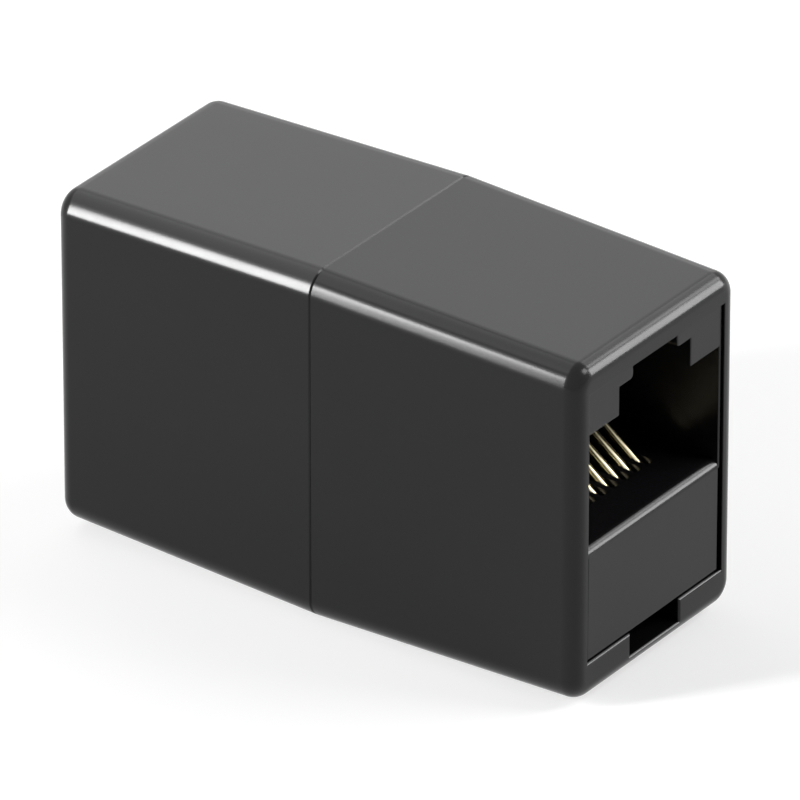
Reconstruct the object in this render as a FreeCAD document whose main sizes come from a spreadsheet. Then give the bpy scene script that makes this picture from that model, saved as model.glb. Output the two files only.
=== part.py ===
import FreeCAD, Part
import math
import os
import Sketcher

# Inline coupler for two eight-pole modular plugs, modelled in millimetres.
# The long axis is X, the width is Y and +Z points up, with the latch notches on top.
# The origin is the centre of the underside at the seam between the two housing halves.
# The rear half of every piece is the front half turned by 180 degrees about Z.

doc = FreeCAD.newDocument("inline_coupler")

SIZES = {
    # Housing halves
    "housing_length": 33.8,
    "side_wall": 1.18,
    "crown_wall": 1.65,
    "base_wall": 1.3,
    "end_wall": 1.0,
    "side_draft": 0.25,
    "crown_draft": 0.45,
    "long_edge_radius": 1.4,
    "end_edge_radius": 0.95,
    "seam_bevel": 0.08,
    "tongue_length": 1.5,
    "tongue_thickness": 0.45,
    "header_lap": 0.46,
    "sill_rise": 1.36,
    "rim_lap": 0.2,
    "window_width": 4.45,
    "catch_rise": 0.5,
    "catch_length": 1.5,
    "catch_width": 8.8,
    # Clearances between pieces
    "fit_gap": 0.05,
    "wire_gap": 0.02,
    # Jack frames
    "plug_width": 11.7,
    "plug_height": 6.77,
    "plug_depth": 10.6,
    "face_recess": 0.15,
    "port_wall": 0.4,
    "rear_wall": 1.0,
    "panel_rise": 6.69,
    "panel_gap": 0.2,
    "lip_depth": 0.55,
    "lip_radius": 0.5,
    "latch_width": 6.43,
    "latch_rise": 1.68,
    "latch_wall": 1.5,
    "latch_room_width": 6.8,
    "tab_width": 3.97,
    "tab_rise": 0.84,
    "step_radius": 0.25,
    "flange_thickness": 1.0,
    "ceiling_thickness": 1.0,
    "core_rib": 0.5,
    "floor_thickness": 1.0,
    "slot_width": 0.62,
    "comb_headroom": 0.5,
    "comb_depth": 0.6,
    "bay_margin": 1.43,
    "bay_rise": 2.15,
    "deck_thickness": 0.8,
    "leg_thickness": 0.5,
    "gusset_offset": 3.4,
    "gusset_thickness": 0.8,
    # Contact wires
    "contact_count": 8,
    "contact_pitch": 1.02,
    "wire_size": 0.45,
    "wire_slope": 37.5,
    "wire_bend": 0.6,
    "wire_drop": 0.6,
    "wire_emerge": 3.95,
    "tail_length": 4.3,
    # Contact carriers
    "carrier_block": 3.5,
    "carrier_shelf": 4.2,
    "shelf_drop": 0.1,
    # Splices and leads
    "splice_size": 0.85,
    "splice_length": 2.0,
    "lead_size": 0.75,
    "conductor_size": 0.3,
    "twist_margin": 1.2,
}

# Heights above the underside and distances from the seam, worked out from the sizes.
LEVELS = {
    "half_length": "Sizes.housing_length / 2",
    "wall_back": "half_length - Sizes.end_wall",
    "jack_face": "half_length - Sizes.face_recess",
    "flange_face": "wall_back - Sizes.fit_gap",
    "flange_back": "flange_face - Sizes.flange_thickness",
    "latch_back": "jack_face - Sizes.latch_wall",
    "port_back": "jack_face - Sizes.plug_depth",
    "jack_rear": "port_back - Sizes.rear_wall",
    "jack_half": "Sizes.plug_width / 2 + Sizes.port_wall",
    "room_half": "jack_half + Sizes.fit_gap",
    "opening_half": "room_half - Sizes.rim_lap",
    "seam_half": "room_half + Sizes.side_wall",
    "room_floor": "Sizes.base_wall",
    "opening_floor": "room_floor + Sizes.sill_rise",
    "port_floor": "opening_floor + Sizes.panel_rise",
    "port_ceiling": "port_floor + Sizes.plug_height",
    "latch_ceiling": "port_ceiling + Sizes.latch_rise",
    "opening_ceiling": "latch_ceiling + Sizes.tab_rise",
    "room_ceiling": "opening_ceiling + Sizes.header_lap",
    "housing_height": "room_ceiling + Sizes.crown_wall",
    "floor_under": "port_floor - Sizes.floor_thickness",
    "bay_floor": "floor_under - Sizes.bay_rise",
    "deck_under": "bay_floor - Sizes.deck_thickness",
    "run_height": "floor_under - Sizes.wire_drop",
    "emerge_at": "jack_face - Sizes.wire_emerge",
    "bend_at": "emerge_at + (port_floor - run_height - Sizes.wire_bend) / tan(Sizes.wire_slope)"
               " - Sizes.wire_bend / sin(Sizes.wire_slope)",
    "slot_front": "bend_at + Sizes.wire_bend + Sizes.wire_size / 2 + 2 * Sizes.fit_gap",
    "carrier_front": "bend_at + Sizes.wire_size / 2",
    "tail_end": "bend_at - Sizes.tail_length",
    "tip_at": "port_back - Sizes.comb_depth + 3 * Sizes.fit_gap",
    "tip_height": "port_floor + (emerge_at - tip_at) * tan(Sizes.wire_slope)",
    "first_lane": "-Sizes.contact_pitch * (Sizes.contact_count - 1) / 2",
    "bay_half": "Sizes.bay_margin - first_lane",
    "twist_start": "jack_rear - Sizes.twist_margin",
}


def fill_sheet(name, entries):
    """One row for each value: its name, then the value under an alias."""
    sheet = doc.addObject("Spreadsheet::Sheet", name)
    for row, (alias, value) in enumerate(entries.items(), start=1):
        sheet.set(f"A{row}", alias)
        sheet.set(f"B{row}", str(value))
        sheet.setAlias(f"B{row}", alias)
    doc.recompute()
    return sheet


sizes = fill_sheet("Sizes", SIZES)
levels = fill_sheet("Levels", {alias: f"={formula}" for alias, formula in LEVELS.items()})


def new_body(label, turned=False):
    body = doc.addObject("PartDesign::Body", label)
    body.Label = label
    if turned:
        half_turn = FreeCAD.Rotation(FreeCAD.Vector(0, 0, 1), 180)
        body.Placement = FreeCAD.Placement(FreeCAD.Vector(), half_turn)
    return body


def origin_feature(body, role):
    return next(item for item in body.Origin.OriginFeatures if item.Role == role)


def new_sketch(body, name, plane="YZ_Plane", offset=None):
    """A sketch on one of the body's own planes, moved along the plane's normal."""
    sketch = body.newObject("Sketcher::SketchObject", name)
    sketch.AttachmentSupport = [(origin_feature(body, plane), "")]
    sketch.MapMode = "FlatFace"
    if offset:
        sketch.setExpression("AttachmentOffset.Base.z", offset)
    return sketch


def polygon(sketch, corners):
    """A closed outline whose corners stay at the given expressions."""
    first = sketch.GeometryCount
    count = len(corners)
    for index in range(count):
        angles = (2 * math.pi * index / count, 2 * math.pi * (index + 1) / count)
        start, end = (FreeCAD.Vector(math.cos(a), math.sin(a), 0) for a in angles)
        sketch.addGeometry(Part.LineSegment(start, end), False)
    for index in range(count):
        following = (index + 1) % count
        sketch.addConstraint(Sketcher.Constraint("Coincident", first + index, 2, first + following, 1))
    for index, (across, up) in enumerate(corners):
        for kind, expression in (("DistanceX", across), ("DistanceY", up)):
            number = sketch.addConstraint(Sketcher.Constraint(kind, -1, 1, first + index, 1, 1.0))
            sketch.setExpression(f"Constraints[{number}]", expression)


def rectangle(sketch, left, right, bottom, top):
    polygon(sketch, [(left, bottom), (right, bottom), (right, top), (left, top)])


def pad(body, sketch, length, reverse=False, centred=False):
    feature = body.newObject("PartDesign::Pad", f"{sketch.Name}_pad")
    feature.Profile = sketch
    feature.Reversed = reverse
    feature.Midplane = centred
    feature.setExpression("Length", length)
    doc.recompute()
    return feature


def pocket(body, sketch, depth, reverse=False, centred=False):
    """A cut that has to take material away, or the model stops here."""
    before = body.Shape.Volume
    feature = body.newObject("PartDesign::Pocket", f"{sketch.Name}_cut")
    feature.Profile = sketch
    feature.Reversed = reverse
    feature.Midplane = centred
    feature.setExpression("Length", depth)
    doc.recompute()
    if body.Shape.Volume >= before:
        raise RuntimeError(f"{feature.Name} takes nothing away")
    return feature


def row_of_eight(body, feature):
    """Repeats a slot or groove at every contact lane along Y."""
    before = body.Shape.Volume
    pattern = body.newObject("PartDesign::LinearPattern", f"{feature.Name}_row")
    pattern.Originals = [feature]
    pattern.Direction = (origin_feature(body, "Y_Axis"), [""])
    pattern.setExpression("Length", "Sizes.contact_pitch * (Sizes.contact_count - 1)")
    pattern.setExpression("Occurrences", "Sizes.contact_count")
    body.Tip = pattern
    doc.recompute()
    if body.Shape.Volume >= before:
        raise RuntimeError(f"{pattern.Name} repeats nothing")
    return pattern


def edges_where(feature, test):
    """Names of the edges whose ends and middle all pass the test."""
    names = []
    for index, edge in enumerate(feature.Shape.Edges, start=1):
        middle = edge.valueAt((edge.FirstParameter + edge.LastParameter) / 2)
        points = [vertex.Point for vertex in edge.Vertexes] + [middle]
        if test(points):
            names.append(f"Edge{index}")
    return names


def dress(body, kind, name, base, edge_names, prop, expression):
    """A fillet or chamfer on the named edges of the last feature."""
    feature = body.newObject(kind, name)
    feature.Base = (base, edge_names)
    feature.setExpression(prop, expression)
    doc.recompute()
    return feature


def near(value, target):
    return abs(value - target) < 0.001


def build_shell(label, turned):
    """One housing half: a drafted moulding, open at the seam."""
    body = new_body(label, turned)
    half_length = levels.half_length
    # The wedge grows along its own Y axis, which is turned to run from the seam to the end.
    block = body.newObject("PartDesign::AdditiveWedge", "block")
    block.AttachmentSupport = [(origin_feature(body, "XY_Plane"), "")]
    block.MapMode = "FlatFace"
    quarter_turn = FreeCAD.Rotation(FreeCAD.Vector(0, 0, 1), -90)
    block.AttachmentOffset = FreeCAD.Placement(FreeCAD.Vector(), quarter_turn)
    wedge = {
        "Xmin": "-Levels.seam_half",
        "Xmax": "Levels.seam_half",
        "X2min": "-Levels.seam_half + Sizes.side_draft",
        "X2max": "Levels.seam_half - Sizes.side_draft",
        "Ymin": "0",
        "Ymax": "Levels.half_length",
        "Zmin": "0",
        "Zmax": "Levels.housing_height",
        "Z2min": "Sizes.crown_draft",
        "Z2max": "Levels.housing_height - Sizes.crown_draft",
    }
    for prop, expression in wedge.items():
        block.setExpression(prop, expression)
    doc.recompute()

    def is_long(points):
        return {round(point.x, 3) for point in points[:2]} == {0.0, round(half_length, 3)}

    long_edges = dress(body, "PartDesign::Fillet", "long_edges", block,
                       edges_where(block, is_long), "Radius", "Sizes.long_edge_radius")
    rim = edges_where(long_edges, lambda points: all(near(p.x, half_length) for p in points))
    end_edges = dress(body, "PartDesign::Fillet", "end_edges", long_edges,
                      rim, "Radius", "Sizes.end_edge_radius")
    seam = edges_where(end_edges, lambda points: all(near(p.x, 0) for p in points))
    dress(body, "PartDesign::Chamfer", "seam_edge", end_edges, seam, "Size", "Sizes.seam_bevel")

    room = new_sketch(body, "room")
    rectangle(room, "-Levels.room_half", "Levels.room_half", "Levels.room_floor", "Levels.room_ceiling")
    pocket(body, room, "Levels.wall_back", reverse=True)

    opening = new_sketch(body, "opening", offset="Levels.half_length")
    rectangle(opening, "-Levels.opening_half", "Levels.opening_half",
              "Levels.opening_floor", "Levels.opening_ceiling")
    pocket(body, opening, "Sizes.end_wall")

    # The core that shapes the room shuts off through this window in the lower rim.
    window = new_sketch(body, "window", offset="Levels.half_length")
    rectangle(window, "-Sizes.window_width / 2", "Sizes.window_width / 2",
              "Levels.room_floor", "Levels.opening_floor")
    pocket(body, window, "Sizes.end_wall")

    # Half of the seam carries a tongue and the other half its groove, so both halves are alike.
    reach = "Sizes.tongue_thickness"
    tongue = new_sketch(body, "tongue")
    polygon(tongue, half_ring("", reach, "Sizes.fit_gap"))
    pad(body, tongue, "Sizes.tongue_length", reverse=True)
    groove = new_sketch(body, "groove")
    polygon(groove, half_ring("-", f"({reach} + Sizes.fit_gap)", "0"))
    pocket(body, groove, "Sizes.tongue_length + Sizes.fit_gap", reverse=True)

    # Ramps on the floor and the ceiling snap behind the jack frame.
    catches = new_sketch(body, "catches", plane="XZ_Plane")
    steep = "Levels.jack_rear - Sizes.fit_gap"
    shallow = f"{steep} - Sizes.catch_length"
    polygon(catches, [(steep, "Levels.room_floor"),
                      (steep, "Levels.room_floor + Sizes.catch_rise"),
                      (shallow, "Levels.room_floor")])
    polygon(catches, [(steep, "Levels.room_ceiling"),
                      (shallow, "Levels.room_ceiling"),
                      (steep, "Levels.room_ceiling - Sizes.catch_rise")])
    pad(body, catches, "Sizes.catch_width", centred=True)
    return body


def half_ring(side, reach, start):
    """A band outside the room's wall, on one side of the middle plane."""
    outer = f"{side}(Levels.room_half + {reach})"
    inner = f"{side}Levels.room_half"
    middle = f"{side}{start}" if start != "0" else "0"
    low, high = f"Levels.room_floor - {reach}", f"Levels.room_ceiling + {reach}"
    return [(middle, low), (outer, low), (outer, high), (middle, high),
            (middle, "Levels.room_ceiling"), (inner, "Levels.room_ceiling"),
            (inner, "Levels.room_floor"), (middle, "Levels.room_floor")]


def build_jack_frame(label, turned):
    """The moulded jack: port, stepped latch notch, slotted floor and comb."""
    body = new_body(label, turned)
    bottom = "Levels.room_floor + Sizes.fit_gap"
    top = "Levels.room_ceiling - Sizes.fit_gap"

    core = new_sketch(body, "core", offset="Levels.jack_rear")
    rectangle(core, "-Levels.jack_half", "Levels.jack_half", bottom, top)
    pad(body, core, "Levels.flange_face - Levels.jack_rear")

    # The face stands in the opening; its panel below the lip is narrower than the port.
    nose = new_sketch(body, "nose", offset="Levels.flange_face")
    wide = "(Levels.opening_half - Sizes.fit_gap)"
    narrow = "(Levels.opening_half - Sizes.panel_gap)"
    lip = "Levels.port_floor - Sizes.lip_depth"
    crest = "Levels.opening_ceiling - Sizes.fit_gap"
    foot = "Levels.opening_floor + Sizes.fit_gap"
    polygon(nose, [(f"-{narrow}", foot), (narrow, foot), (narrow, lip), (wide, lip),
                   (wide, crest), (f"-{wide}", crest), (f"-{wide}", lip), (f"-{narrow}", lip)])
    pad(body, nose, "Levels.jack_face - Levels.flange_face")

    port = new_sketch(body, "port", offset="Levels.jack_face")
    rectangle(port, "-Sizes.plug_width / 2", "Sizes.plug_width / 2",
              "Levels.port_floor", "Levels.port_ceiling")
    pocket(body, port, "Sizes.plug_depth")

    notch = new_sketch(body, "notch", offset="Levels.jack_face")
    broad, slim = "Sizes.latch_width / 2", "Sizes.tab_width / 2"
    polygon(notch, [(f"-{broad}", "Levels.port_ceiling"), (broad, "Levels.port_ceiling"),
                    (broad, "Levels.latch_ceiling"), (slim, "Levels.latch_ceiling"),
                    (slim, top), (f"-{slim}", top),
                    (f"-{slim}", "Levels.latch_ceiling"), (f"-{broad}", "Levels.latch_ceiling")])
    pocket(body, notch, "Sizes.latch_wall")

    latch_room = new_sketch(body, "latch_room", offset="Levels.latch_back")
    side = "Sizes.latch_room_width / 2"
    rectangle(latch_room, f"-{side}", side, "Levels.port_ceiling", top)
    pocket(body, latch_room, "Levels.latch_back - Levels.port_back")

    # Cores that thin the shoulders beside the latch room.
    shoulders = new_sketch(body, "shoulders", offset="Levels.flange_back")
    near_side = "(Sizes.latch_room_width / 2 + Sizes.core_rib)"
    far_side = "(Sizes.plug_width / 2)"
    roof = "Levels.port_ceiling + Sizes.ceiling_thickness"
    rectangle(shoulders, near_side, far_side, roof, top)
    rectangle(shoulders, f"-{far_side}", f"-{near_side}", roof, top)
    pocket(body, shoulders, "Levels.flange_back - Levels.port_back")

    bay = new_sketch(body, "carrier_bay", offset="Levels.slot_front")
    rectangle(bay, "-Levels.bay_half", "Levels.bay_half", "Levels.bay_floor", "Levels.floor_under")
    pocket(body, bay, "Levels.slot_front - Levels.jack_rear")

    # The legs and two gussets under the deck stand on the floor of the housing.
    under = new_sketch(body, "under_bays", offset="Levels.flange_back")
    leg = "(Levels.jack_half - Sizes.leg_thickness)"
    outer = "(Sizes.gusset_offset + Sizes.gusset_thickness / 2)"
    inner = "(Sizes.gusset_offset - Sizes.gusset_thickness / 2)"
    rectangle(under, f"-{leg}", f"-{outer}", bottom, "Levels.deck_under")
    rectangle(under, f"-{inner}", inner, bottom, "Levels.deck_under")
    rectangle(under, outer, leg, bottom, "Levels.deck_under")
    pocket(body, under, "Levels.flange_back - Levels.jack_rear")

    relief = new_sketch(body, "window_relief", offset="Levels.flange_face")
    half_window = "(Sizes.window_width / 2 + Sizes.fit_gap)"
    rectangle(relief, f"-{half_window}", half_window, bottom, foot)
    pocket(body, relief, "Sizes.flange_thickness")

    # Each lane has a slot through the floor that runs up the rear wall as a comb.
    lane = new_sketch(body, "lane", plane="XZ_Plane", offset="-Levels.first_lane")
    back = "Levels.port_back - Sizes.comb_depth"
    comb_top = "Levels.tip_height + Sizes.comb_headroom"
    polygon(lane, [(back, "Levels.floor_under"), ("Levels.slot_front", "Levels.floor_under"),
                   ("Levels.slot_front", "Levels.port_floor"), ("Levels.port_back", "Levels.port_floor"),
                   ("Levels.port_back", comb_top), (back, comb_top)])
    slot = pocket(body, lane, "Sizes.slot_width", centred=True)
    slots = row_of_eight(body, slot)

    face, floor = levels.jack_face, levels.port_floor
    lip_edge = edges_where(slots, lambda points: all(near(p.x, face) and near(p.z, floor) for p in points))
    rounded = dress(body, "PartDesign::Fillet", "lip", slots, lip_edge, "Radius", "Sizes.lip_radius")
    step_side, step_height = sizes.tab_width / 2, levels.latch_ceiling
    step = edges_where(rounded, lambda points: all(
        near(abs(p.y), step_side) and near(p.z, step_height) for p in points))
    dress(body, "PartDesign::Fillet", "notch_step", rounded, step, "Radius", "Sizes.step_radius")
    return body


def build_carrier(label, turned):
    """The grooved block under the floor that holds the contact wires."""
    body = new_body(label, turned)
    side_view = new_sketch(body, "side_view", plane="XZ_Plane")
    front = "Levels.carrier_front"
    step = f"{front} - Sizes.carrier_block"
    back = f"{step} - Sizes.carrier_shelf"
    bottom = "Levels.bay_floor + Sizes.fit_gap"
    shelf = "Levels.run_height - Sizes.splice_size / 2 - Sizes.shelf_drop - Sizes.fit_gap / 2"
    top = "Levels.floor_under - Sizes.fit_gap"
    polygon(side_view, [(back, bottom), (front, bottom), (front, top),
                        (step, top), (step, shelf), (back, shelf)])
    pad(body, side_view, "2 * (Levels.bay_half - Sizes.fit_gap)", centred=True)

    lane = new_sketch(body, "lane", plane="XZ_Plane", offset="-Levels.first_lane")
    groove_floor = "Levels.run_height - Sizes.wire_size / 2 - Sizes.wire_gap"
    polygon(lane, [(step, groove_floor), (front, groove_floor), (front, top), (step, top)])
    groove = pocket(body, lane, "Sizes.wire_size + 2 * Sizes.wire_gap", centred=True)
    row_of_eight(body, groove)
    return body


def hexagon(size):
    """Corners of a hexagon of that size across its corners, about the wire's run."""
    return [(f"{size} / 2 * cos({turn})", f"Levels.run_height + {size} / 2 * sin({turn})")
            for turn in range(0, 360, 60)]


def build_contact(label, lane, turned):
    """A spring wire: tail under the floor, bend at the lip, slope up to the comb."""
    body = new_body(label, turned)
    route = new_sketch(body, "route", plane="XZ_Plane")
    radius = sizes.wire_bend
    slope = math.radians(sizes.wire_slope)
    centre = FreeCAD.Vector(levels.bend_at, levels.run_height + radius, 0)
    top_angle = math.pi / 2 - slope
    bend = Part.ArcOfCircle(Part.Circle(centre, FreeCAD.Vector(0, 0, 1), radius), -math.pi / 2, top_angle)
    tail = FreeCAD.Vector(levels.tail_end, levels.run_height, 0)
    tip = FreeCAD.Vector(levels.tip_at, levels.tip_height, 0)
    route.addGeometry(Part.LineSegment(tail, bend.StartPoint), False)
    route.addGeometry(bend, False)
    route.addGeometry(Part.LineSegment(bend.EndPoint, tip), False)
    route.addGeometry(Part.Point(FreeCAD.Vector(levels.emerge_at, levels.port_floor, 0)), True)
    route.addConstraint(Sketcher.Constraint("Tangent", 0, 2, 1, 1))
    route.addConstraint(Sketcher.Constraint("Tangent", 1, 2, 2, 1))
    route.addConstraint(Sketcher.Constraint("Horizontal", 0))
    route.addConstraint(Sketcher.Constraint("PointOnObject", 3, 1, 2))
    driven = [
        (Sketcher.Constraint("Radius", 1, radius), "Sizes.wire_bend"),
        (Sketcher.Constraint("DistanceX", -1, 1, 3, 1, levels.emerge_at), "Levels.emerge_at"),
        (Sketcher.Constraint("DistanceY", -1, 1, 3, 1, levels.port_floor), "Levels.port_floor"),
        (Sketcher.Constraint("DistanceX", -1, 1, 0, 1, tail.x), "Levels.tail_end"),
        (Sketcher.Constraint("DistanceY", -1, 1, 0, 1, tail.y), "Levels.run_height"),
        (Sketcher.Constraint("DistanceX", -1, 1, 2, 2, tip.x), "Levels.tip_at"),
        (Sketcher.Constraint("Angle", 2, math.pi - slope), "180 - Sizes.wire_slope"),
    ]
    for constraint, expression in driven:
        number = route.addConstraint(constraint)
        route.setExpression(f"Constraints[{number}]", expression)
    section = new_sketch(body, "section", offset="Levels.tail_end")
    polygon(section, hexagon("Sizes.wire_size"))
    doc.recompute()
    wire = body.newObject("PartDesign::AdditivePipe", "wire")
    wire.Profile = section
    wire.Spine = (route, ["Edge1", "Edge2", "Edge3"])
    side = "-1 * " if turned else ""
    body.setExpression("Placement.Base.y", f"{side}(Levels.first_lane + {lane} * Sizes.contact_pitch)")
    doc.recompute()
    return body


def build_splice(label, lane, turned):
    """A six-sided crimped sleeve over a contact's tail and a lead's conductor."""
    sleeve = doc.addObject("Part::Prism", f"{label}_sleeve")
    sleeve.Polygon = 6
    sleeve.setExpression("Circumradius", "Sizes.splice_size / 2 / cos(30)")
    sleeve.setExpression("Height", "Sizes.splice_length")
    bore = doc.addObject("Part::Prism", f"{label}_bore")
    bore.Polygon = 8
    bore.setExpression("Circumradius", "(Sizes.wire_size / 2 + Sizes.wire_gap) / cos(22.5)")
    bore.setExpression("Height", "Sizes.splice_length")
    bore.Placement = FreeCAD.Placement(FreeCAD.Vector(), FreeCAD.Rotation(FreeCAD.Vector(0, 0, 1), 22.5))
    splice = doc.addObject("Part::Cut", label)
    splice.Label = label
    splice.Base = sleeve
    splice.Tool = bore
    # The prism's axis is laid along X, with two of its flats facing the lanes beside it.
    splice.Placement = FreeCAD.Placement(FreeCAD.Vector(), FreeCAD.Rotation(FreeCAD.Vector(0, 1, 0), 90))
    sign = "-1" if turned else "1"
    start = "Levels.tail_end - Sizes.splice_length / 2"
    if turned:
        start = "-(Levels.tail_end + Sizes.splice_length / 2)"
    splice.setExpression("Placement.Base.x", start)
    splice.setExpression("Placement.Base.y", f"{sign} * (Levels.first_lane + {lane} * Sizes.contact_pitch)")
    splice.setExpression("Placement.Base.z", "Levels.run_height")
    doc.recompute()
    return splice


def hexagon_face(centre, along, size):
    """A hexagonal face across a lead, with two of its flats facing up and down."""
    sideways = along.cross(FreeCAD.Vector(0, 0, 1)).normalize()
    upward = sideways.cross(along).normalize()
    corners = []
    for index in range(6):
        angle = index * math.pi / 3
        corner = sideways * math.cos(angle) + upward * math.sin(angle)
        corners.append(centre + corner * (size / 2))
    return Part.Face(Part.makePolygon(corners + corners[:1]))


def bent_bar(points, size):
    """A bar along straight runs joined by tangent arcs, and the length of its middle line."""
    heading = (points[1] - points[0]).normalize()
    section = hexagon_face(points[0], heading, size)
    position = points[0]
    pieces = []
    length = 0.0
    for before, corner, after in zip(points, points[1:], points[2:]):
        heading = (corner - before).normalize()
        onward = (after - corner).normalize()
        turn = heading.getAngle(onward)
        if turn < 0.001:
            continue
        tangent = 0.45 * min((corner - before).Length, (after - corner).Length)
        radius = tangent / math.tan(turn / 2)
        run = corner - heading * tangent - position
        pieces.append(section.extrude(run))
        section.translate(run)
        axis = heading.cross(onward).normalize()
        centre = corner - heading * tangent + axis.cross(heading) * radius
        pieces.append(section.revolve(centre, axis, math.degrees(turn)))
        section.rotate(centre, axis, math.degrees(turn))
        position = corner + onward * tangent
        length += run.Length + radius * turn
    last = points[-1] - position
    pieces.append(section.extrude(last))
    length += last.Length
    return pieces, length


def build_lead(label, lane):
    """An insulated lead that crosses the middle of the housing with half a turn of twist."""
    offset = levels.first_lane + lane * sizes.contact_pitch
    height = levels.run_height
    start = levels.tail_end - sizes.splice_length / 2 - sizes.fit_gap
    steps = 3
    points = [FreeCAD.Vector(start, offset, height)]
    for step in range(steps + 1):
        angle = math.pi * step / steps
        along = levels.twist_start * (1 - 2 * step / steps)
        points.append(FreeCAD.Vector(along, offset * math.cos(angle), height + abs(offset) * math.sin(angle)
                                     * (1 if offset > 0 else -1)))
    points.append(FreeCAD.Vector(-start, -offset, height))
    pieces, length = bent_bar(points, sizes.lead_size)
    stub = sizes.splice_length / 2 - sizes.fit_gap
    for end, direction in ((points[0], 1), (points[-1], -1)):
        along = FreeCAD.Vector(direction, 0, 0)
        pieces.append(hexagon_face(end, along, sizes.conductor_size).extrude(along * stub))
    lead = doc.addObject("Part::Feature", label)
    lead.Label = label
    lead.Shape = pieces[0].multiFuse(pieces[1:])
    area = hexagon_face(points[0], FreeCAD.Vector(1, 0, 0), sizes.lead_size).Area
    conductor = hexagon_face(points[0], FreeCAD.Vector(1, 0, 0), sizes.conductor_size).Area
    expected = area * length + 2 * conductor * stub
    if abs(lead.Shape.Volume / expected - 1) > 0.002:
        raise RuntimeError(f"{label} holds {lead.Shape.Volume}, not {expected}")
    return lead


parts = []
for end, turned in (("front", False), ("rear", True)):
    parts.append(build_shell(f"{end}_shell", turned))
    parts.append(build_jack_frame(f"{end}_jack_frame", turned))
    parts.append(build_carrier(f"{end}_contact_carrier", turned))
    for lane in range(int(sizes.contact_count)):
        parts.append(build_contact(f"{end}_contact_{lane + 1}", lane, turned))
        parts.append(build_splice(f"{end}_splice_{lane + 1}", lane, turned))
for lane in range(int(sizes.contact_count)):
    parts.append(build_lead(f"lead_{lane + 1}", lane))

doc.recompute()
for item in doc.Objects:
    if {"Invalid", "Error"} & set(item.State):
        raise RuntimeError(f"{item.Label} failed: {item.State}")
for part in parts:
    if part.Shape.isNull() or not part.Shape.isValid() or len(part.Shape.Solids) != 1:
        raise RuntimeError(f"{part.Label} is not one valid solid")

os.makedirs("parts", exist_ok=True)
for part in parts:
    part.Shape.exportStep(f"parts/{part.Label}.step")
print(f"{len(parts)} pieces written")
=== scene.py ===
import math

import bmesh
import bpy
from mathutils import Matrix, Vector


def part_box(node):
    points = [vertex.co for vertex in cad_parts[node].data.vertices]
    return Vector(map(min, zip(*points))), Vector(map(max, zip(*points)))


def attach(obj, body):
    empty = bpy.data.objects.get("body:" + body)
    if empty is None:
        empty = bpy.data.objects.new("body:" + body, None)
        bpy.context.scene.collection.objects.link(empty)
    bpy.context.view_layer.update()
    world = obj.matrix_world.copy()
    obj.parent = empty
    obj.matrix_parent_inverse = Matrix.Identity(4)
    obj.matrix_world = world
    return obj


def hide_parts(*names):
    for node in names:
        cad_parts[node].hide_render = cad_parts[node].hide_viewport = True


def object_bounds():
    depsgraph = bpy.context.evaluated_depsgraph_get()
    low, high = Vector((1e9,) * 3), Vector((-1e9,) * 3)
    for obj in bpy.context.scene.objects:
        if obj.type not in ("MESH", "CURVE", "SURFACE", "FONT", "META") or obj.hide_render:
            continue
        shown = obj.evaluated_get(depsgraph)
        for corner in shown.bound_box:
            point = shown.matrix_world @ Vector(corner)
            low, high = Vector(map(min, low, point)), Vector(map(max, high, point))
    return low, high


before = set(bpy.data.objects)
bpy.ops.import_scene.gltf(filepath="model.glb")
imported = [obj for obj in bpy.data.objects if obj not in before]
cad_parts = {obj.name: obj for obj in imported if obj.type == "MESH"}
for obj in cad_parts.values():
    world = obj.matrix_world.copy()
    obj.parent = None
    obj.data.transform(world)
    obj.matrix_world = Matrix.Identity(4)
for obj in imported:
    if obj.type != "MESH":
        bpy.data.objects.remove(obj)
cad_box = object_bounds()

# The meshes are drawn in millimetres in the frame of the CAD part and scaled once to metres.
# +X runs out of the front port, Y is the width and +Z is up; the underside's centre is the origin.
MM = 0.001
ENDS = ("front", "rear")
LANES = range(1, 9)

# How far a cutter runs on past what it cuts, and how near points are merged, in millimetres
PAST = 1.0
MERGE_DISTANCE = 0.0002
# Edges that turn by more than this stay sharp.
MOULDED_SHARP = math.radians(32)
WIRE_SHARP = math.radians(60)

# Housing halves, in millimetres
SIDE_DRAFT = 0.25
CROWN_DRAFT = 0.45
LONG_EDGE_RADIUS = 1.4
END_EDGE_RADIUS = 0.95
SEAM_BEVEL = 0.08
FIT_GAP = 0.05
END_WALL = 1.0
WINDOW_WIDTH = 4.45
SILL_RISE = 1.36
RIM_LAP = 0.2
HEADER_LAP = 0.46
TONGUE_LENGTH = 1.5
TONGUE_THICKNESS = 0.45
TONGUE_ROOT = 0.3
CATCH_LENGTH = 1.5
CATCH_RISE = 0.5
CATCH_WIDTH = 8.8
CATCH_ROOT = 0.2
SILL_RADIUS = 0.14
WALL_RIM_RADIUS = 0.05
# Steps along a half and round the edge at its end
LENGTH_STEPS = 14
END_EDGE_STEPS = 14

# Jack frames, in millimetres
PLUG_WIDTH = 11.7
PLUG_HEIGHT = 6.77
PLUG_DEPTH = 10.6
FACE_RECESS = 0.15
NOSE_ROOT = 0.5
PANEL_RISE = 6.69
PANEL_GAP = 0.2
LIP_DEPTH = 0.55
LIP_RADIUS = 0.5
LATCH_WIDTH = 6.43
LATCH_RISE = 1.68
LATCH_WALL = 1.5
LATCH_ROOM_WIDTH = 6.8
TAB_WIDTH = 3.97
STEP_RADIUS = 0.25
FLANGE_THICKNESS = 1.0
CEILING_THICKNESS = 1.0
CORE_RIB = 0.5
FLOOR_THICKNESS = 1.0
SLOT_WIDTH = 0.62
COMB_HEADROOM = 0.5
COMB_DEPTH = 0.6
BAY_MARGIN = 1.43
LANE_SPAN = 7.14
BAY_WIDTH = LANE_SPAN + 2 * BAY_MARGIN
BAY_RISE = 2.15
DECK_THICKNESS = 0.8
LEG_THICKNESS = 0.5
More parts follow.
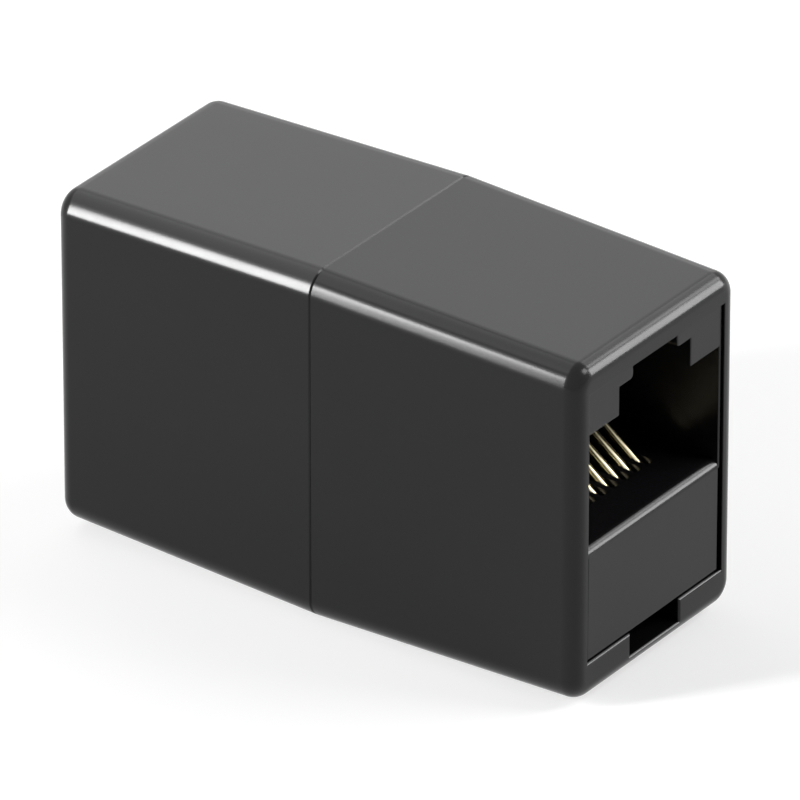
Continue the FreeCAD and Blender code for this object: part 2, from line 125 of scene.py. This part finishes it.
GUSSET_OFFSET = 3.4
GUSSET_THICKNESS = 0.8
FACE_RADIUS = 0.08

# Contact wires, in millimetres
WIRE_SIZE = 0.45
WIRE_BEND = 0.6
WIRE_SLOPE = math.radians(37.5)
# Points round a wire, and steps round its bend and up its slope
WIRE_SIDES = 24
BEND_STEPS = 28
SLOPE_STEPS = 4
# A wire's domed end: its height as a share of the radius, its number of steps, and how many
# steps short of the tip the last ring lies
DOME_SHARE = 0.6
DOME_STEPS = 5
DOME_STOP = 0.4


def box_mm(node):
    low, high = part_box(node)
    return low / MM, high / MM


# Places read from the CAD pieces
SHELL_HIGH = box_mm("front_shell")[1]
JACK_LOW, JACK_HIGH = box_mm("front_jack_frame")
HALF_LENGTH = SHELL_HIGH.x
SEAM_HALF = SHELL_HIGH.y
HEIGHT = SHELL_HIGH.z
ROOM_HALF = JACK_HIGH.y + FIT_GAP
ROOM_FLOOR = JACK_LOW.z - FIT_GAP
ROOM_CEILING = JACK_HIGH.z + FIT_GAP
WALL_BACK = HALF_LENGTH - END_WALL
OPENING_HALF = ROOM_HALF - RIM_LAP
OPENING_FLOOR = ROOM_FLOOR + SILL_RISE
OPENING_CEILING = ROOM_CEILING - HEADER_LAP
JACK_FACE = HALF_LENGTH - FACE_RECESS
FLANGE_FACE = WALL_BACK - FIT_GAP
FLANGE_BACK = FLANGE_FACE - FLANGE_THICKNESS
LATCH_BACK = JACK_FACE - LATCH_WALL
PORT_BACK = JACK_FACE - PLUG_DEPTH
PORT_FLOOR = OPENING_FLOOR + PANEL_RISE
PORT_CEILING = PORT_FLOOR + PLUG_HEIGHT
LATCH_CEILING = PORT_CEILING + LATCH_RISE
FLOOR_UNDER = PORT_FLOOR - FLOOR_THICKNESS
BAY_FLOOR = FLOOR_UNDER - BAY_RISE
# The CAD wires are six-sided bars, WIRE_SIZE across their corners, with two flats up and down.
WIRE_FLAT = WIRE_SIZE / 2 * math.cos(math.radians(30.0))
WIRE_HIGH = box_mm("front_contact_1")[1]
SLOT_FRONT = WIRE_HIGH.x - WIRE_FLAT + WIRE_SIZE / 2 + 2 * FIT_GAP
COMB_TOP = WIRE_HIGH.z - WIRE_FLAT * math.cos(WIRE_SLOPE) + COMB_HEADROOM


# Mesh tools

def object_from(bm, name):
    mesh = bpy.data.meshes.new(name)
    bmesh.ops.recalc_face_normals(bm, faces=bm.faces)
    bm.to_mesh(mesh)
    bm.free()
    piece = bpy.data.objects.new(name, mesh)
    bpy.context.scene.collection.objects.link(piece)
    return piece


def lofted(rings, name):
    """A closed form through rings that have equally many points."""
    bm = bmesh.new()
    loops = [[bm.verts.new(point) for point in ring] for ring in rings]
    for ring, following in zip(loops, loops[1:]):
        for index in range(len(ring)):
            onward = (index + 1) % len(ring)
            bm.faces.new((ring[index], ring[onward], following[onward], following[index]))
    bm.faces.new(reversed(loops[0]))
    bm.faces.new(loops[-1])
    return object_from(bm, name)


def prism(outline, low, high, name, axis):
    """An outline of two coordinates, drawn out along the third axis."""
    def drawn(pair, along):
        first, second = pair
        return (along, first, second) if axis == "x" else (first, along, second)
    return lofted([[drawn(pair, along) for pair in outline] for along in (low, high)], name)


def block(low, high, name):
    outline = [(low[1], low[2]), (high[1], low[2]), (high[1], high[2]), (low[1], high[2])]
    return prism(outline, low[0], high[0], name, "x")


def applied(piece):
    """Bakes the piece's modifiers into its mesh."""
    graph = bpy.context.evaluated_depsgraph_get()
    mesh = bpy.data.meshes.new_from_object(piece.evaluated_get(graph))
    piece.modifiers.clear()
    piece.data = mesh


def combine(piece, tool, operation):
    step = piece.modifiers.new(operation.lower(), "BOOLEAN")
    step.operation = operation
    step.object = tool
    step.solver = "EXACT"
    applied(piece)
    bpy.data.objects.remove(tool)


def offset_outline(outline, distances):
    """Moves each side of an outline that runs anticlockwise outwards by its own distance."""
    count = len(outline)
    normals = []
    for index in range(count):
        side = Vector(outline[(index + 1) % count]) - Vector(outline[index])
        normals.append(Vector((side.y, -side.x)).normalized())
    moved = []
    for index, corner in enumerate(outline):
        before, after = normals[index - 1], normals[index]
        first = Vector(corner).dot(before) + distances[index - 1]
        second = Vector(corner).dot(after) + distances[index]
        cross = before.x * after.y - before.y * after.x
        moved.append(((first * after.y - second * before.y) / cross,
                      (second * before.x - first * after.x) / cross))
    return moved


def edge_inset(along, face, radius):
    """How far a rounded edge of that radius has left the wall, at a depth along its axis."""
    into = min(max(along - (face - radius), 0.0), radius)
    return radius - math.sqrt(radius ** 2 - into ** 2)


def rimmed(outline, start, face, radii, name, past=0.0, steps=7):
    """A prism along X whose edges at its face are rounded, each side by its own radius.

    With past it is a cutter that flares out to the face and runs on beyond it.
    Without past it is a boss whose face has rounded edges.
    """
    sign = 1 if past else -1
    stations = {start}
    for radius in set(radii):
        for step in range(steps + 1):
            stations.add(face - radius + radius * math.sin(math.pi / 2 * step / steps))
    rings = []
    for along in sorted(stations):
        insets = [sign * edge_inset(along, face, radius) for radius in radii]
        moved = offset_outline(outline, insets)
        rings.append([(along, across, up) for across, up in moved])
    if past:
        rings.append([(face + past, across, up) for _, across, up in rings[-1]])
    return lofted(rings, name)


def smooth(piece, sharp=MOULDED_SHARP):
    """Smooth shading that keeps flat faces flat."""
    bm = bmesh.new()
    bm.from_mesh(piece.data)
    bmesh.ops.remove_doubles(bm, verts=bm.verts, dist=MERGE_DISTANCE)
    bmesh.ops.triangulate(bm, faces=[face for face in bm.faces if len(face.verts) > 4])
    bm.to_mesh(piece.data)
    bm.free()
    for face in piece.data.polygons:
        face.use_smooth = True
    piece.data.set_sharp_from_angle(angle=sharp)
    step = piece.modifiers.new("weighted", "WEIGHTED_NORMAL")
    step.keep_sharp = True
    applied(piece)


def place(piece, name, node, material, turned):
    """Scales a finished mesh to metres and puts it in the frame for one CAD node."""
    piece.name = name
    piece.data.name = name
    turn = Matrix.Rotation(math.pi, 4, "Z") if turned else Matrix.Identity(4)
    piece.data.transform(Matrix.Scale(MM, 4) @ turn)
    piece.data.materials.clear()
    piece.data.materials.append(material)
    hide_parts(node)
    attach(piece, "root")


def copy_of(piece):
    twin = piece.copy()
    twin.data = piece.data.copy()
    bpy.context.scene.collection.objects.link(twin)
    return twin


# Materials

# Most values of a noise texture lie between these two.
NOISE_LOW = 0.3
NOISE_HIGH = 0.7
# Slow changes over a surface, in waves to the metre
SHADE_WAVES = 160.0
GLOSS_WAVES = 420.0
TONE_WAVES = 900.0
# Shares by which the roughness goes up and down
PLASTIC_SPREAD = 0.06
METAL_SPREAD = 0.08
# Lines in a metal surface: how strong they are, and how deep in metres
LINE_STRENGTH = 0.5
LINE_DEPTH = 0.0000004
# The lighter shade of a lead over its colour
LEAD_LIGHTER = 1.2
# Sockets of a colour mix: its two colours and its result
MIX_DARK, MIX_LIGHT, MIX_RESULT = 6, 7, 2


class Nodes:
    """A short way to add nodes to a material and link them."""

    def __init__(self, name):
        self.material = bpy.data.materials.new(name)
        self.material.use_nodes = True
        self.tree = self.material.node_tree
        self.tree.nodes.clear()
        self.shader = self.add("ShaderNodeBsdfPrincipled")
        output = self.add("ShaderNodeOutputMaterial")
        self.link(self.shader, "BSDF", output, "Surface")
        self.place = self.add("ShaderNodeTexCoord")

    def add(self, kind, **values):
        node = self.tree.nodes.new(kind)
        for name, value in values.items():
            if name in node.inputs.keys():
                node.inputs[name].default_value = value
            else:
                setattr(node, name, value)
        return node

    def link(self, source, out, target, into):
        self.tree.links.new(source.outputs[out], target.inputs[into])

    def noise(self, scale, detail=3.0, stretch=None):
        """Noise over the piece; scale is in waves to the metre."""
        node = self.add("ShaderNodeTexNoise", Scale=scale, Detail=detail)
        if stretch:
            mapping = self.add("ShaderNodeMapping", Scale=stretch)
            self.link(self.place, "Object", mapping, "Vector")
            self.link(mapping, "Vector", node, "Vector")
        else:
            self.link(self.place, "Object", node, "Vector")
        return node

    def roughness(self, source, middle, spread):
        """Roughness that goes up and down by a share of its middle."""
        node = self.add("ShaderNodeMapRange")
        node.inputs["From Min"].default_value = NOISE_LOW
        node.inputs["From Max"].default_value = NOISE_HIGH
        node.inputs["To Min"].default_value = middle * (1 - spread)
        node.inputs["To Max"].default_value = middle * (1 + spread)
        self.link(source, "Fac", node, "Value")
        self.link(node, "Result", self.shader, "Roughness")

    def colours(self, source, dark, light):
        node = self.add("ShaderNodeMix", data_type="RGBA")
        node.inputs[MIX_DARK].default_value = (*dark, 1)
        node.inputs[MIX_LIGHT].default_value = (*light, 1)
        self.link(source, "Fac", node, "Factor")
        self.link(node, MIX_RESULT, self.shader, "Base Color")

    def bump(self, source, strength, distance):
        node = self.add("ShaderNodeBump", Strength=strength, Distance=distance)
        self.link(source, "Fac", node, "Height")
        self.link(node, "Normal", self.shader, "Normal")


def moulded_plastic(name, dark, light, roughness, specular, grain, depth):
    """Moulded plastic: slow changes of shade and gloss, and a fine grain.

    Grain is in waves to the metre and its depth in metres.
    """
    nodes = Nodes(name)
    nodes.shader.inputs["Specular IOR Level"].default_value = specular
    nodes.colours(nodes.noise(SHADE_WAVES), dark, light)
    nodes.roughness(nodes.noise(GLOSS_WAVES, detail=4.0), roughness, PLASTIC_SPREAD)
    nodes.bump(nodes.noise(grain, detail=2.0), strength=1.0, distance=depth)
    return nodes.material


def metal(name, dark, light, roughness, stretch):
    """Drawn wire or sheet: slow changes of tone and fine lines along the piece.

    Stretch gives the lines' waves to the metre along X, Y and Z.
    """
    nodes = Nodes(name)
    nodes.shader.inputs["Metallic"].default_value = 1.0
    nodes.colours(nodes.noise(TONE_WAVES), dark, light)
    lines = nodes.noise(1.0, detail=2.0, stretch=stretch)
    nodes.roughness(lines, roughness, METAL_SPREAD)
    nodes.bump(lines, strength=LINE_STRENGTH, distance=LINE_DEPTH)
    return nodes.material


SHELL_PLASTIC = moulded_plastic(
    "shell_plastic", dark=(0.0030, 0.0030, 0.0032), light=(0.0038, 0.0038, 0.0040),
    roughness=0.21, specular=0.26, grain=11000.0, depth=0.0000005)
JACK_PLASTIC = moulded_plastic(
    "jack_plastic", dark=(0.0060, 0.0056, 0.0063), light=(0.0072, 0.0067, 0.0076),
    roughness=0.22, specular=0.27, grain=7000.0, depth=0.0000003)
CARRIER_PLASTIC = moulded_plastic(
    "carrier_plastic", dark=(0.02, 0.02, 0.02), light=(0.03, 0.03, 0.03),
    roughness=0.45, specular=0.4, grain=9000.0, depth=0.000002)
CONTACT_GOLD = metal(
    "contact_gold", dark=(0.80, 0.69, 0.42), light=(0.93, 0.85, 0.62),
    roughness=0.20, stretch=(150.0, 9000.0, 9000.0))
SPLICE_METAL = metal(
    "splice_metal", dark=(0.60, 0.60, 0.58), light=(0.76, 0.75, 0.72),
    roughness=0.32, stretch=(400.0, 7000.0, 7000.0))
LEAD_COLOURS = {
    "blue": (0.03, 0.10, 0.45),
    "orange": (0.72, 0.20, 0.03),
    "black": (0.015, 0.015, 0.016),
    "red": (0.50, 0.025, 0.02),
    "green": (0.03, 0.26, 0.07),
    "yellow": (0.75, 0.55, 0.04),
    "brown": (0.15, 0.06, 0.025),
    "grey": (0.26, 0.27, 0.29),
}


# Housing halves

def rounded_ring(along, half_width, low, high, radius, corner_steps=16, side_steps=6):
    """Points of a rounded rectangle across the X axis, counted from the right-hand side."""
    corners = [
        (half_width - radius, high - radius, 0.0),
        (-half_width + radius, high - radius, 90.0),
        (-half_width + radius, low + radius, 180.0),
        (half_width - radius, low + radius, 270.0),
    ]

    def on_corner(corner, turned):
        across, up, start = corner
        angle = math.radians(start + turned)
        return Vector((along, across + radius * math.cos(angle), up + radius * math.sin(angle)))

    points = []
    for corner, following in zip(corners, corners[1:] + corners[:1]):
        for step in range(corner_steps + 1):
            points.append(on_corner(corner, 90.0 * step / corner_steps))
        last, target = points[-1], on_corner(following, 0.0)
        points += [last.lerp(target, step / side_steps) for step in range(1, side_steps)]
    return points


def shell_ring(along, inset=0.0, rolled=None):
    """A section of the drafted half; rolled is the angle reached round the end's rounded edge."""
    share = along / HALF_LENGTH
    half_width = SEAM_HALF - SIDE_DRAFT * share - inset
    low = CROWN_DRAFT * share + inset
    radius = LONG_EDGE_RADIUS - inset
    if rolled is not None:
        start = HALF_LENGTH - END_EDGE_RADIUS
        side = math.atan2(SIDE_DRAFT, HALF_LENGTH)
        crown = math.atan2(CROWN_DRAFT, HALF_LENGTH)
        reach = END_EDGE_RADIUS * math.cos(rolled)
        wall = (SEAM_HALF - SIDE_DRAFT * start / HALF_LENGTH
                - END_EDGE_RADIUS / math.cos(side) + reach)
        radius = LONG_EDGE_RADIUS - (half_width - wall)
        half_width = wall
        low = CROWN_DRAFT * start / HALF_LENGTH + END_EDGE_RADIUS / math.cos(crown) - reach
    return rounded_ring(along, half_width, low, HEIGHT - low, radius)


def build_shell():
    """The outer moulding, hollowed out, with its opening, window, seam joint and snap ramps."""
    start = HALF_LENGTH - END_EDGE_RADIUS
    rings = [shell_ring(0.0, SEAM_BEVEL), shell_ring(SEAM_BEVEL)]
    rings += [shell_ring(SEAM_BEVEL + (start - SEAM_BEVEL) * step / LENGTH_STEPS)
              for step in range(1, LENGTH_STEPS)]
    first = math.atan2(SIDE_DRAFT, HALF_LENGTH)
    for step in range(END_EDGE_STEPS + 1):
        angle = first + (math.pi / 2 - first) * step / END_EDGE_STEPS
        rings.append(shell_ring(start + END_EDGE_RADIUS * math.sin(angle), rolled=angle))
    shell = lofted(rings, "shell")

    groove = TONGUE_THICKNESS + FIT_GAP
    cuts = {
        "room": ((-PAST, -ROOM_HALF, ROOM_FLOOR), (WALL_BACK, ROOM_HALF, ROOM_CEILING)),
        "groove": ((-PAST, -ROOM_HALF - groove, ROOM_FLOOR - groove),
                   (TONGUE_LENGTH + FIT_GAP, 0.0, ROOM_CEILING + groove)),
    }
    for name, (low, high) in cuts.items():
        combine(shell, block(low, high, name), "DIFFERENCE")
    # The opening and the window in its lower rim are one cut with rounded edges.
    window = WINDOW_WIDTH / 2
    outline = [(-OPENING_HALF, OPENING_FLOOR), (-window, OPENING_FLOOR), (-window, ROOM_FLOOR),
               (window, ROOM_FLOOR), (window, OPENING_FLOOR), (OPENING_HALF, OPENING_FLOOR),
               (OPENING_HALF, OPENING_CEILING), (-OPENING_HALF, OPENING_CEILING)]
    radii = [SILL_RADIUS] * 5 + [WALL_RIM_RADIUS] * 3
    opening = rimmed(outline, WALL_BACK - PAST, HALF_LENGTH, radii, "opening", past=PAST)
    combine(shell, opening, "DIFFERENCE")

    # The tongue runs round one side of the seam and fits the groove of the other half.
    outer = TONGUE_THICKNESS
    tongue = block((-TONGUE_LENGTH, FIT_GAP, ROOM_FLOOR - outer),
                   (TONGUE_ROOT, ROOM_HALF + outer, ROOM_CEILING + outer), "tongue")
    bore = block((-TONGUE_LENGTH - PAST, -PAST, ROOM_FLOOR),
                 (TONGUE_ROOT + PAST, ROOM_HALF, ROOM_CEILING), "bore")
    combine(tongue, bore, "DIFFERENCE")
    combine(shell, tongue, "UNION")

    # Two ramps behind the jack frame hold it against the end wall.
    steep = JACK_LOW.x - FIT_GAP
    for name, base, sign in (("floor_catch", ROOM_FLOOR, 1), ("ceiling_catch", ROOM_CEILING, -1)):
        root = base - sign * CATCH_ROOT
        outline = [(steep, root), (steep, base + sign * CATCH_RISE),
                   (steep - CATCH_LENGTH, base), (steep - CATCH_LENGTH, root)]
        ramp = prism(outline, -CATCH_WIDTH / 2, CATCH_WIDTH / 2, name, "y")
        combine(shell, ramp, "UNION")

    smooth(shell)
    return shell


# Jack frames

def arc(centre, radius, start, end, steps=5):
    """Points of an arc between two angles in degrees, both ends included."""
    points = []
    for step in range(steps + 1):
        angle = math.radians(start + (end - start) * step / steps)
        points.append((centre[0] + radius * math.cos(angle),
                       centre[1] + radius * math.sin(angle)))
    return points


def mouth_outline(top):
    """The port with its stepped latch notch, seen from the front, anticlockwise."""
    half, broad, slim = PLUG_WIDTH / 2, LATCH_WIDTH / 2, TAB_WIDTH / 2
    step = arc((slim + STEP_RADIUS, LATCH_CEILING + STEP_RADIUS), STEP_RADIUS, 270, 180)
    right = [(half, PORT_CEILING), (broad, PORT_CEILING), (broad, LATCH_CEILING)]
    right += [*step, (slim, top)]
    left = [(-across, up) for across, up in reversed(right)]
    return [(-half, PORT_FLOOR), (half, PORT_FLOOR)] + right + left


def build_jack_frame():
    """The moulded jack: flange and nose, port with stepped latch notch, slotted floor and comb."""
    low, high = JACK_LOW, JACK_HIGH
    jack = block((low.x, -high.y, low.z), (FLANGE_FACE, high.y, high.z), "jack")

    wide = OPENING_HALF - FIT_GAP
    narrow = OPENING_HALF - PANEL_GAP
    foot = OPENING_FLOOR + FIT_GAP
    crest = OPENING_CEILING - FIT_GAP
    lip = PORT_FLOOR - LIP_DEPTH
    outline = [(-narrow, foot), (narrow, foot), (narrow, lip), (wide, lip),
               (wide, crest), (-wide, crest), (-wide, lip), (-narrow, lip)]
    radii = [FACE_RADIUS] * len(outline)
    combine(jack, rimmed(outline, FLANGE_FACE - NOSE_ROOT, JACK_FACE, radii, "nose"), "UNION")

    outline = mouth_outline(high.z + PAST)
    radii = [LIP_RADIUS] + [FACE_RADIUS] * (len(outline) - 1)
    mouth = rimmed(outline, LATCH_BACK, JACK_FACE, radii, "mouth", past=PAST)
    combine(jack, mouth, "DIFFERENCE")

    half = PLUG_WIDTH / 2
    room = LATCH_ROOM_WIDTH / 2
    rib = room + CORE_RIB
    roof = PORT_CEILING + CEILING_THICKNESS
    leg = high.y - LEG_THICKNESS
    outer, inner = (GUSSET_OFFSET + sign * GUSSET_THICKNESS / 2 for sign in (1, -1))
    deck = BAY_FLOOR - DECK_THICKNESS
    window = WINDOW_WIDTH / 2 + FIT_GAP
    bay = BAY_WIDTH / 2
    above, below, behind = high.z + PAST, low.z - PAST, low.x - PAST
    cuts = [
        ("port", (PORT_BACK, -half, PORT_FLOOR), (LATCH_BACK + FIT_GAP, half, PORT_CEILING)),
        ("latch_room", (PORT_BACK, -room, PORT_CEILING - PAST), (LATCH_BACK, room, above)),
        ("left_core", (PORT_BACK, -half, roof), (FLANGE_BACK, -rib, above)),
        ("right_core", (PORT_BACK, rib, roof), (FLANGE_BACK, half, above)),
        ("carrier_bay", (behind, -bay, BAY_FLOOR), (SLOT_FRONT, bay, FLOOR_UNDER)),
        ("left_bay", (behind, -leg, below), (FLANGE_BACK, -outer, deck)),
        ("middle_bay", (behind, -inner, below), (FLANGE_BACK, inner, deck)),
        ("right_bay", (behind, outer, below), (FLANGE_BACK, leg, deck)),
        ("window_relief", (FLANGE_BACK - PAST, -window, below), (FLANGE_FACE + PAST, window, foot)),
    ]
    for name, corner, opposite in cuts:
        combine(jack, block(corner, opposite, name), "DIFFERENCE")

    # Each lane has a slot through the floor that runs up the rear wall as a comb.
    comb_back = PORT_BACK - COMB_DEPTH
    profile = [(comb_back, FLOOR_UNDER - FIT_GAP), (SLOT_FRONT, FLOOR_UNDER - FIT_GAP),
               (SLOT_FRONT, PORT_FLOOR + FIT_GAP), (PORT_BACK + FIT_GAP, PORT_FLOOR + FIT_GAP),
               (PORT_BACK + FIT_GAP, COMB_TOP), (comb_back, COMB_TOP)]
    for lane in LANES:
        wire_low, wire_high = box_mm(f"front_contact_{lane}")
        middle = (wire_low.y + wire_high.y) / 2
        slot = prism(profile, middle - SLOT_WIDTH / 2, middle + SLOT_WIDTH / 2, "slot", "y")
        combine(jack, slot, "DIFFERENCE")

    smooth(jack)
    return jack


# Contact wires

def wire_route(lane):
    """Middle line of a wire with the direction at each point: tail, bend and slope."""
    low, high = box_mm(f"front_contact_{lane}")
    splice_low, splice_high = box_mm(f"front_splice_{lane}")
    run = low.z + WIRE_FLAT
    across = (low.y + high.y) / 2
    bend_at = high.x - WIRE_FLAT - WIRE_BEND
    tail = (splice_low.x + splice_high.x) / 2
    route = [(Vector((tail, across, run)), Vector((1, 0, 0)))]
    turn = math.pi - WIRE_SLOPE
    for step in range(BEND_STEPS + 1):
        angle = turn * step / BEND_STEPS
        heading = Vector((math.cos(angle), 0, math.sin(angle)))
        point = Vector((bend_at + WIRE_BEND * math.sin(angle), across,
                        run + WIRE_BEND * (1 - math.cos(angle))))
        route.append((point, heading))
    point, heading = route[-1]
    reach = (point.x - low.x) / math.cos(WIRE_SLOPE) - WIRE_FLAT * math.tan(WIRE_SLOPE)
    for step in range(1, SLOPE_STEPS + 1):
        route.append((point + heading * reach * (step / SLOPE_STEPS), heading))
    return route


def domed_end(point, heading, sign):
    """Sections of a wire's end from its full radius out to the tip, on the side of the sign."""
    half = WIRE_SIZE / 2
    dome = half * DOME_SHARE
    base = point - heading * sign * dome
    sections = []
    for step in range(DOME_STEPS + 1):
        angle = math.pi / 2 * step / (DOME_STEPS + DOME_STOP)
        centre = base + heading * sign * dome * math.sin(angle)
        sections.append((centre, heading, half * math.cos(angle)))
    return sections


def build_wire(lane):
    """A round wire whose two ends are slightly domed."""
    route = wire_route(lane)
    sections = domed_end(*route[0], -1)[::-1]
    sections += [(point, heading, WIRE_SIZE / 2) for point, heading in route[1:-1]]
    sections += domed_end(*route[-1], 1)
    sideways = Vector((0, 1, 0))
    rings = []
    for point, heading, radius in sections:
        upward = heading.cross(sideways)
        ring = []
        for side in range(WIRE_SIDES):
            angle = 2 * math.pi * side / WIRE_SIDES
            ring.append(point + (sideways * math.cos(angle) + upward * math.sin(angle)) * radius)
        rings.append(ring)
    wire = lofted(rings, "wire")
    smooth(wire, sharp=WIRE_SHARP)
    return wire


# Camera, light and floor

# The camera's place: angles from -Y towards +X and upwards, then metres away, to the right and up
AZIMUTH = math.radians(36.02)
ELEVATION = math.radians(29.19)
CAMERA_DISTANCE = 0.667
CAMERA_OFFSET = (0.000327, -0.000248)
# Lens and sensor in millimetres, and what the camera sees, in metres from it
LENS = 569.5
SENSOR = 36.0
CLIP_NEAR = 0.01
CLIP_FAR = 20.0
# Metres from the origin to the middle of each softbox
SOFTBOX_DISTANCE = 0.7
# Fill light of the world
WORLD_FILL = 0.02
# The floor: half its side in metres, its grey, and the glow that lifts it to white
FLOOR_HALF = 2.0
FLOOR_COLOUR = 0.5
FLOOR_GLOW = 0.53


def aim_camera():
    """The camera stands at the photograph's angle and faces the middle of the part.

    A small offset puts the part where the photograph has it.
    """
    low, high = cad_box
    centre = (low + high) / 2
    back = Vector((math.sin(AZIMUTH) * math.cos(ELEVATION),
                   -math.cos(AZIMUTH) * math.cos(ELEVATION), math.sin(ELEVATION)))
    right = Vector((math.cos(AZIMUTH), math.sin(AZIMUTH), 0))
    upward = back.cross(right)
    data = bpy.data.cameras.new("camera")
    data.sensor_width = SENSOR
    data.lens = LENS
    data.clip_start = CLIP_NEAR
    data.clip_end = CLIP_FAR
    camera = bpy.data.objects.new("camera", data)
    bpy.context.scene.collection.objects.link(camera)
    turn = Matrix((right, upward, back)).transposed().to_4x4()
    sideways, up = CAMERA_OFFSET
    stand = centre + back * CAMERA_DISTANCE + right * sideways + upward * up
    camera.matrix_world = Matrix.Translation(stand) @ turn
    bpy.context.scene.camera = camera


def softbox(name, azimuths, elevations, radiance):
    """A rectangular panel of light that faces the part and spans these angles, in degrees."""
    distance = SOFTBOX_DISTANCE
    azimuth = math.radians(sum(azimuths) / 2)
    elevation = math.radians(sum(elevations) / 2)
    half_across = math.radians(azimuths[1] - azimuths[0]) / 2 * math.cos(elevation)
    half_up = math.radians(elevations[1] - elevations[0]) / 2
    away = Vector((math.cos(azimuth) * math.cos(elevation),
                   math.sin(azimuth) * math.cos(elevation), math.sin(elevation)))
    data = bpy.data.lights.new(name, "AREA")
    data.shape = "RECTANGLE"
    data.size = 2 * distance * math.tan(half_across)
    data.size_y = 2 * distance * math.tan(half_up)
    data.energy = radiance * math.pi * data.size * data.size_y
    lamp = bpy.data.objects.new(name, data)
    bpy.context.scene.collection.objects.link(lamp)
    lamp.location = away * distance
    lamp.rotation_euler = away.to_track_quat("Z", "Y").to_euler()


def light_studio():
    """Softboxes; azimuths run anticlockwise from +X, and the camera stands at 306 degrees."""
    softbox("key", (229, 239), (0.5, 34), radiance=56.0)
    softbox("key_top", (218, 236), (33, 42), radiance=4.0)
    softbox("rim", (42, 58), (1, 29), radiance=13.5)
    softbox("rim_top", (56, 73), (26, 41), radiance=8.5)
    softbox("shoulder", (70, 104), (36, 50), radiance=2.6)
    softbox("back", (104, 147), (12, 50), radiance=1.05)
    softbox("overhead", (141, 228), (42, 66), radiance=1.95)
    softbox("corner", (18, 42), (32, 55), radiance=8.5)


def set_world(strength):
    """A white world: plain fill light, and white where the camera or a reflection meets it."""
    world = bpy.data.worlds.new("studio")
    bpy.context.scene.world = world
    world.use_nodes = True
    tree = world.node_tree
    tree.nodes.clear()
    output = tree.nodes.new("ShaderNodeOutputWorld")
    background = tree.nodes.new("ShaderNodeBackground")
    background.inputs["Color"].default_value = (1, 1, 1, 1)
    seen = seen_rays(tree)
    level = tree.nodes.new("ShaderNodeMapRange")
    level.inputs["To Min"].default_value = strength
    level.inputs["To Max"].default_value = 1.0
    tree.links.new(seen, level.inputs["Value"])
    tree.links.new(level.outputs["Result"], background.inputs["Strength"])
    tree.links.new(background.outputs[0], output.inputs["Surface"])


def seen_rays(tree):
    """1 for camera, glossy and transmission rays, 0 for the rays that carry light."""
    path = tree.nodes.new("ShaderNodeLightPath")
    total = path.outputs["Is Camera Ray"]
    for name in ("Is Glossy Ray", "Is Transmission Ray"):
        larger = tree.nodes.new("ShaderNodeMath")
        larger.operation = "MAXIMUM"
        tree.links.new(total, larger.inputs[0])
        tree.links.new(path.outputs[name], larger.inputs[1])
        total = larger.outputs[0]
    return total


def lay_floor(colour, glow_strength):
    """A pale floor that shows white to the camera and keeps the part's shadow."""
    half = FLOOR_HALF
    bm = bmesh.new()
    corners = [(-half, -half), (half, -half), (half, half), (-half, half)]
    bm.faces.new([bm.verts.new((x, y, 0.0)) for x, y in corners])
    floor = object_from(bm, "floor")
    material = bpy.data.materials.new("floor")
    material.use_nodes = True
    tree = material.node_tree
    tree.nodes.clear()
    output = tree.nodes.new("ShaderNodeOutputMaterial")
    matte = tree.nodes.new("ShaderNodeBsdfDiffuse")
    matte.inputs["Color"].default_value = (colour, colour, colour, 1)
    glow = tree.nodes.new("ShaderNodeEmission")
    strength = tree.nodes.new("ShaderNodeMath")
    strength.operation = "MULTIPLY"
    strength.inputs[1].default_value = glow_strength
    tree.links.new(seen_rays(tree), strength.inputs[0])
    tree.links.new(strength.outputs[0], glow.inputs["Strength"])
    both = tree.nodes.new("ShaderNodeAddShader")
    tree.links.new(matte.outputs[0], both.inputs[0])
    tree.links.new(glow.outputs[0], both.inputs[1])
    tree.links.new(both.outputs[0], output.inputs["Surface"])
    floor.data.materials.append(material)


# The scene

def dress_node(node, material):
    """A CAD piece that is shown as it is, with its own material."""
    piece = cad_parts[node]
    piece.data.materials.clear()
    piece.data.materials.append(material)


def build_pieces():
    """Each form is built in the front half; the rear half's pieces are turned by half a turn."""
    shell = build_shell()
    jack = build_jack_frame()
    for end in ENDS:
        turned = end == "rear"
        place(copy_of(shell), f"{end}_housing_half", f"{end}_shell",
              SHELL_PLASTIC, turned)
        place(copy_of(jack), f"{end}_jack", f"{end}_jack_frame",
              JACK_PLASTIC, turned)
        dress_node(f"{end}_contact_carrier", CARRIER_PLASTIC)
        for lane in LANES:
            place(build_wire(lane), f"{end}_contact_wire_{lane}", f"{end}_contact_{lane}",
                  CONTACT_GOLD, turned)
            dress_node(f"{end}_splice_{lane}", SPLICE_METAL)
    for lane, (name, colour) in zip(LANES, LEAD_COLOURS.items()):
        light = tuple(min(1.0, part * LEAD_LIGHTER) for part in colour)
        jacket = moulded_plastic(f"lead_{name}", colour, light, roughness=0.42, specular=0.45,
                                 grain=6000.0, depth=0.000002)
        dress_node(f"lead_{lane}", jacket)
    for leftover in (shell, jack):
        bpy.data.objects.remove(leftover)


build_pieces()
aim_camera()
light_studio()
set_world(WORLD_FILL)
lay_floor(FLOOR_COLOUR, FLOOR_GLOW)
bpy.context.scene.view_settings.view_transform = "Standard"
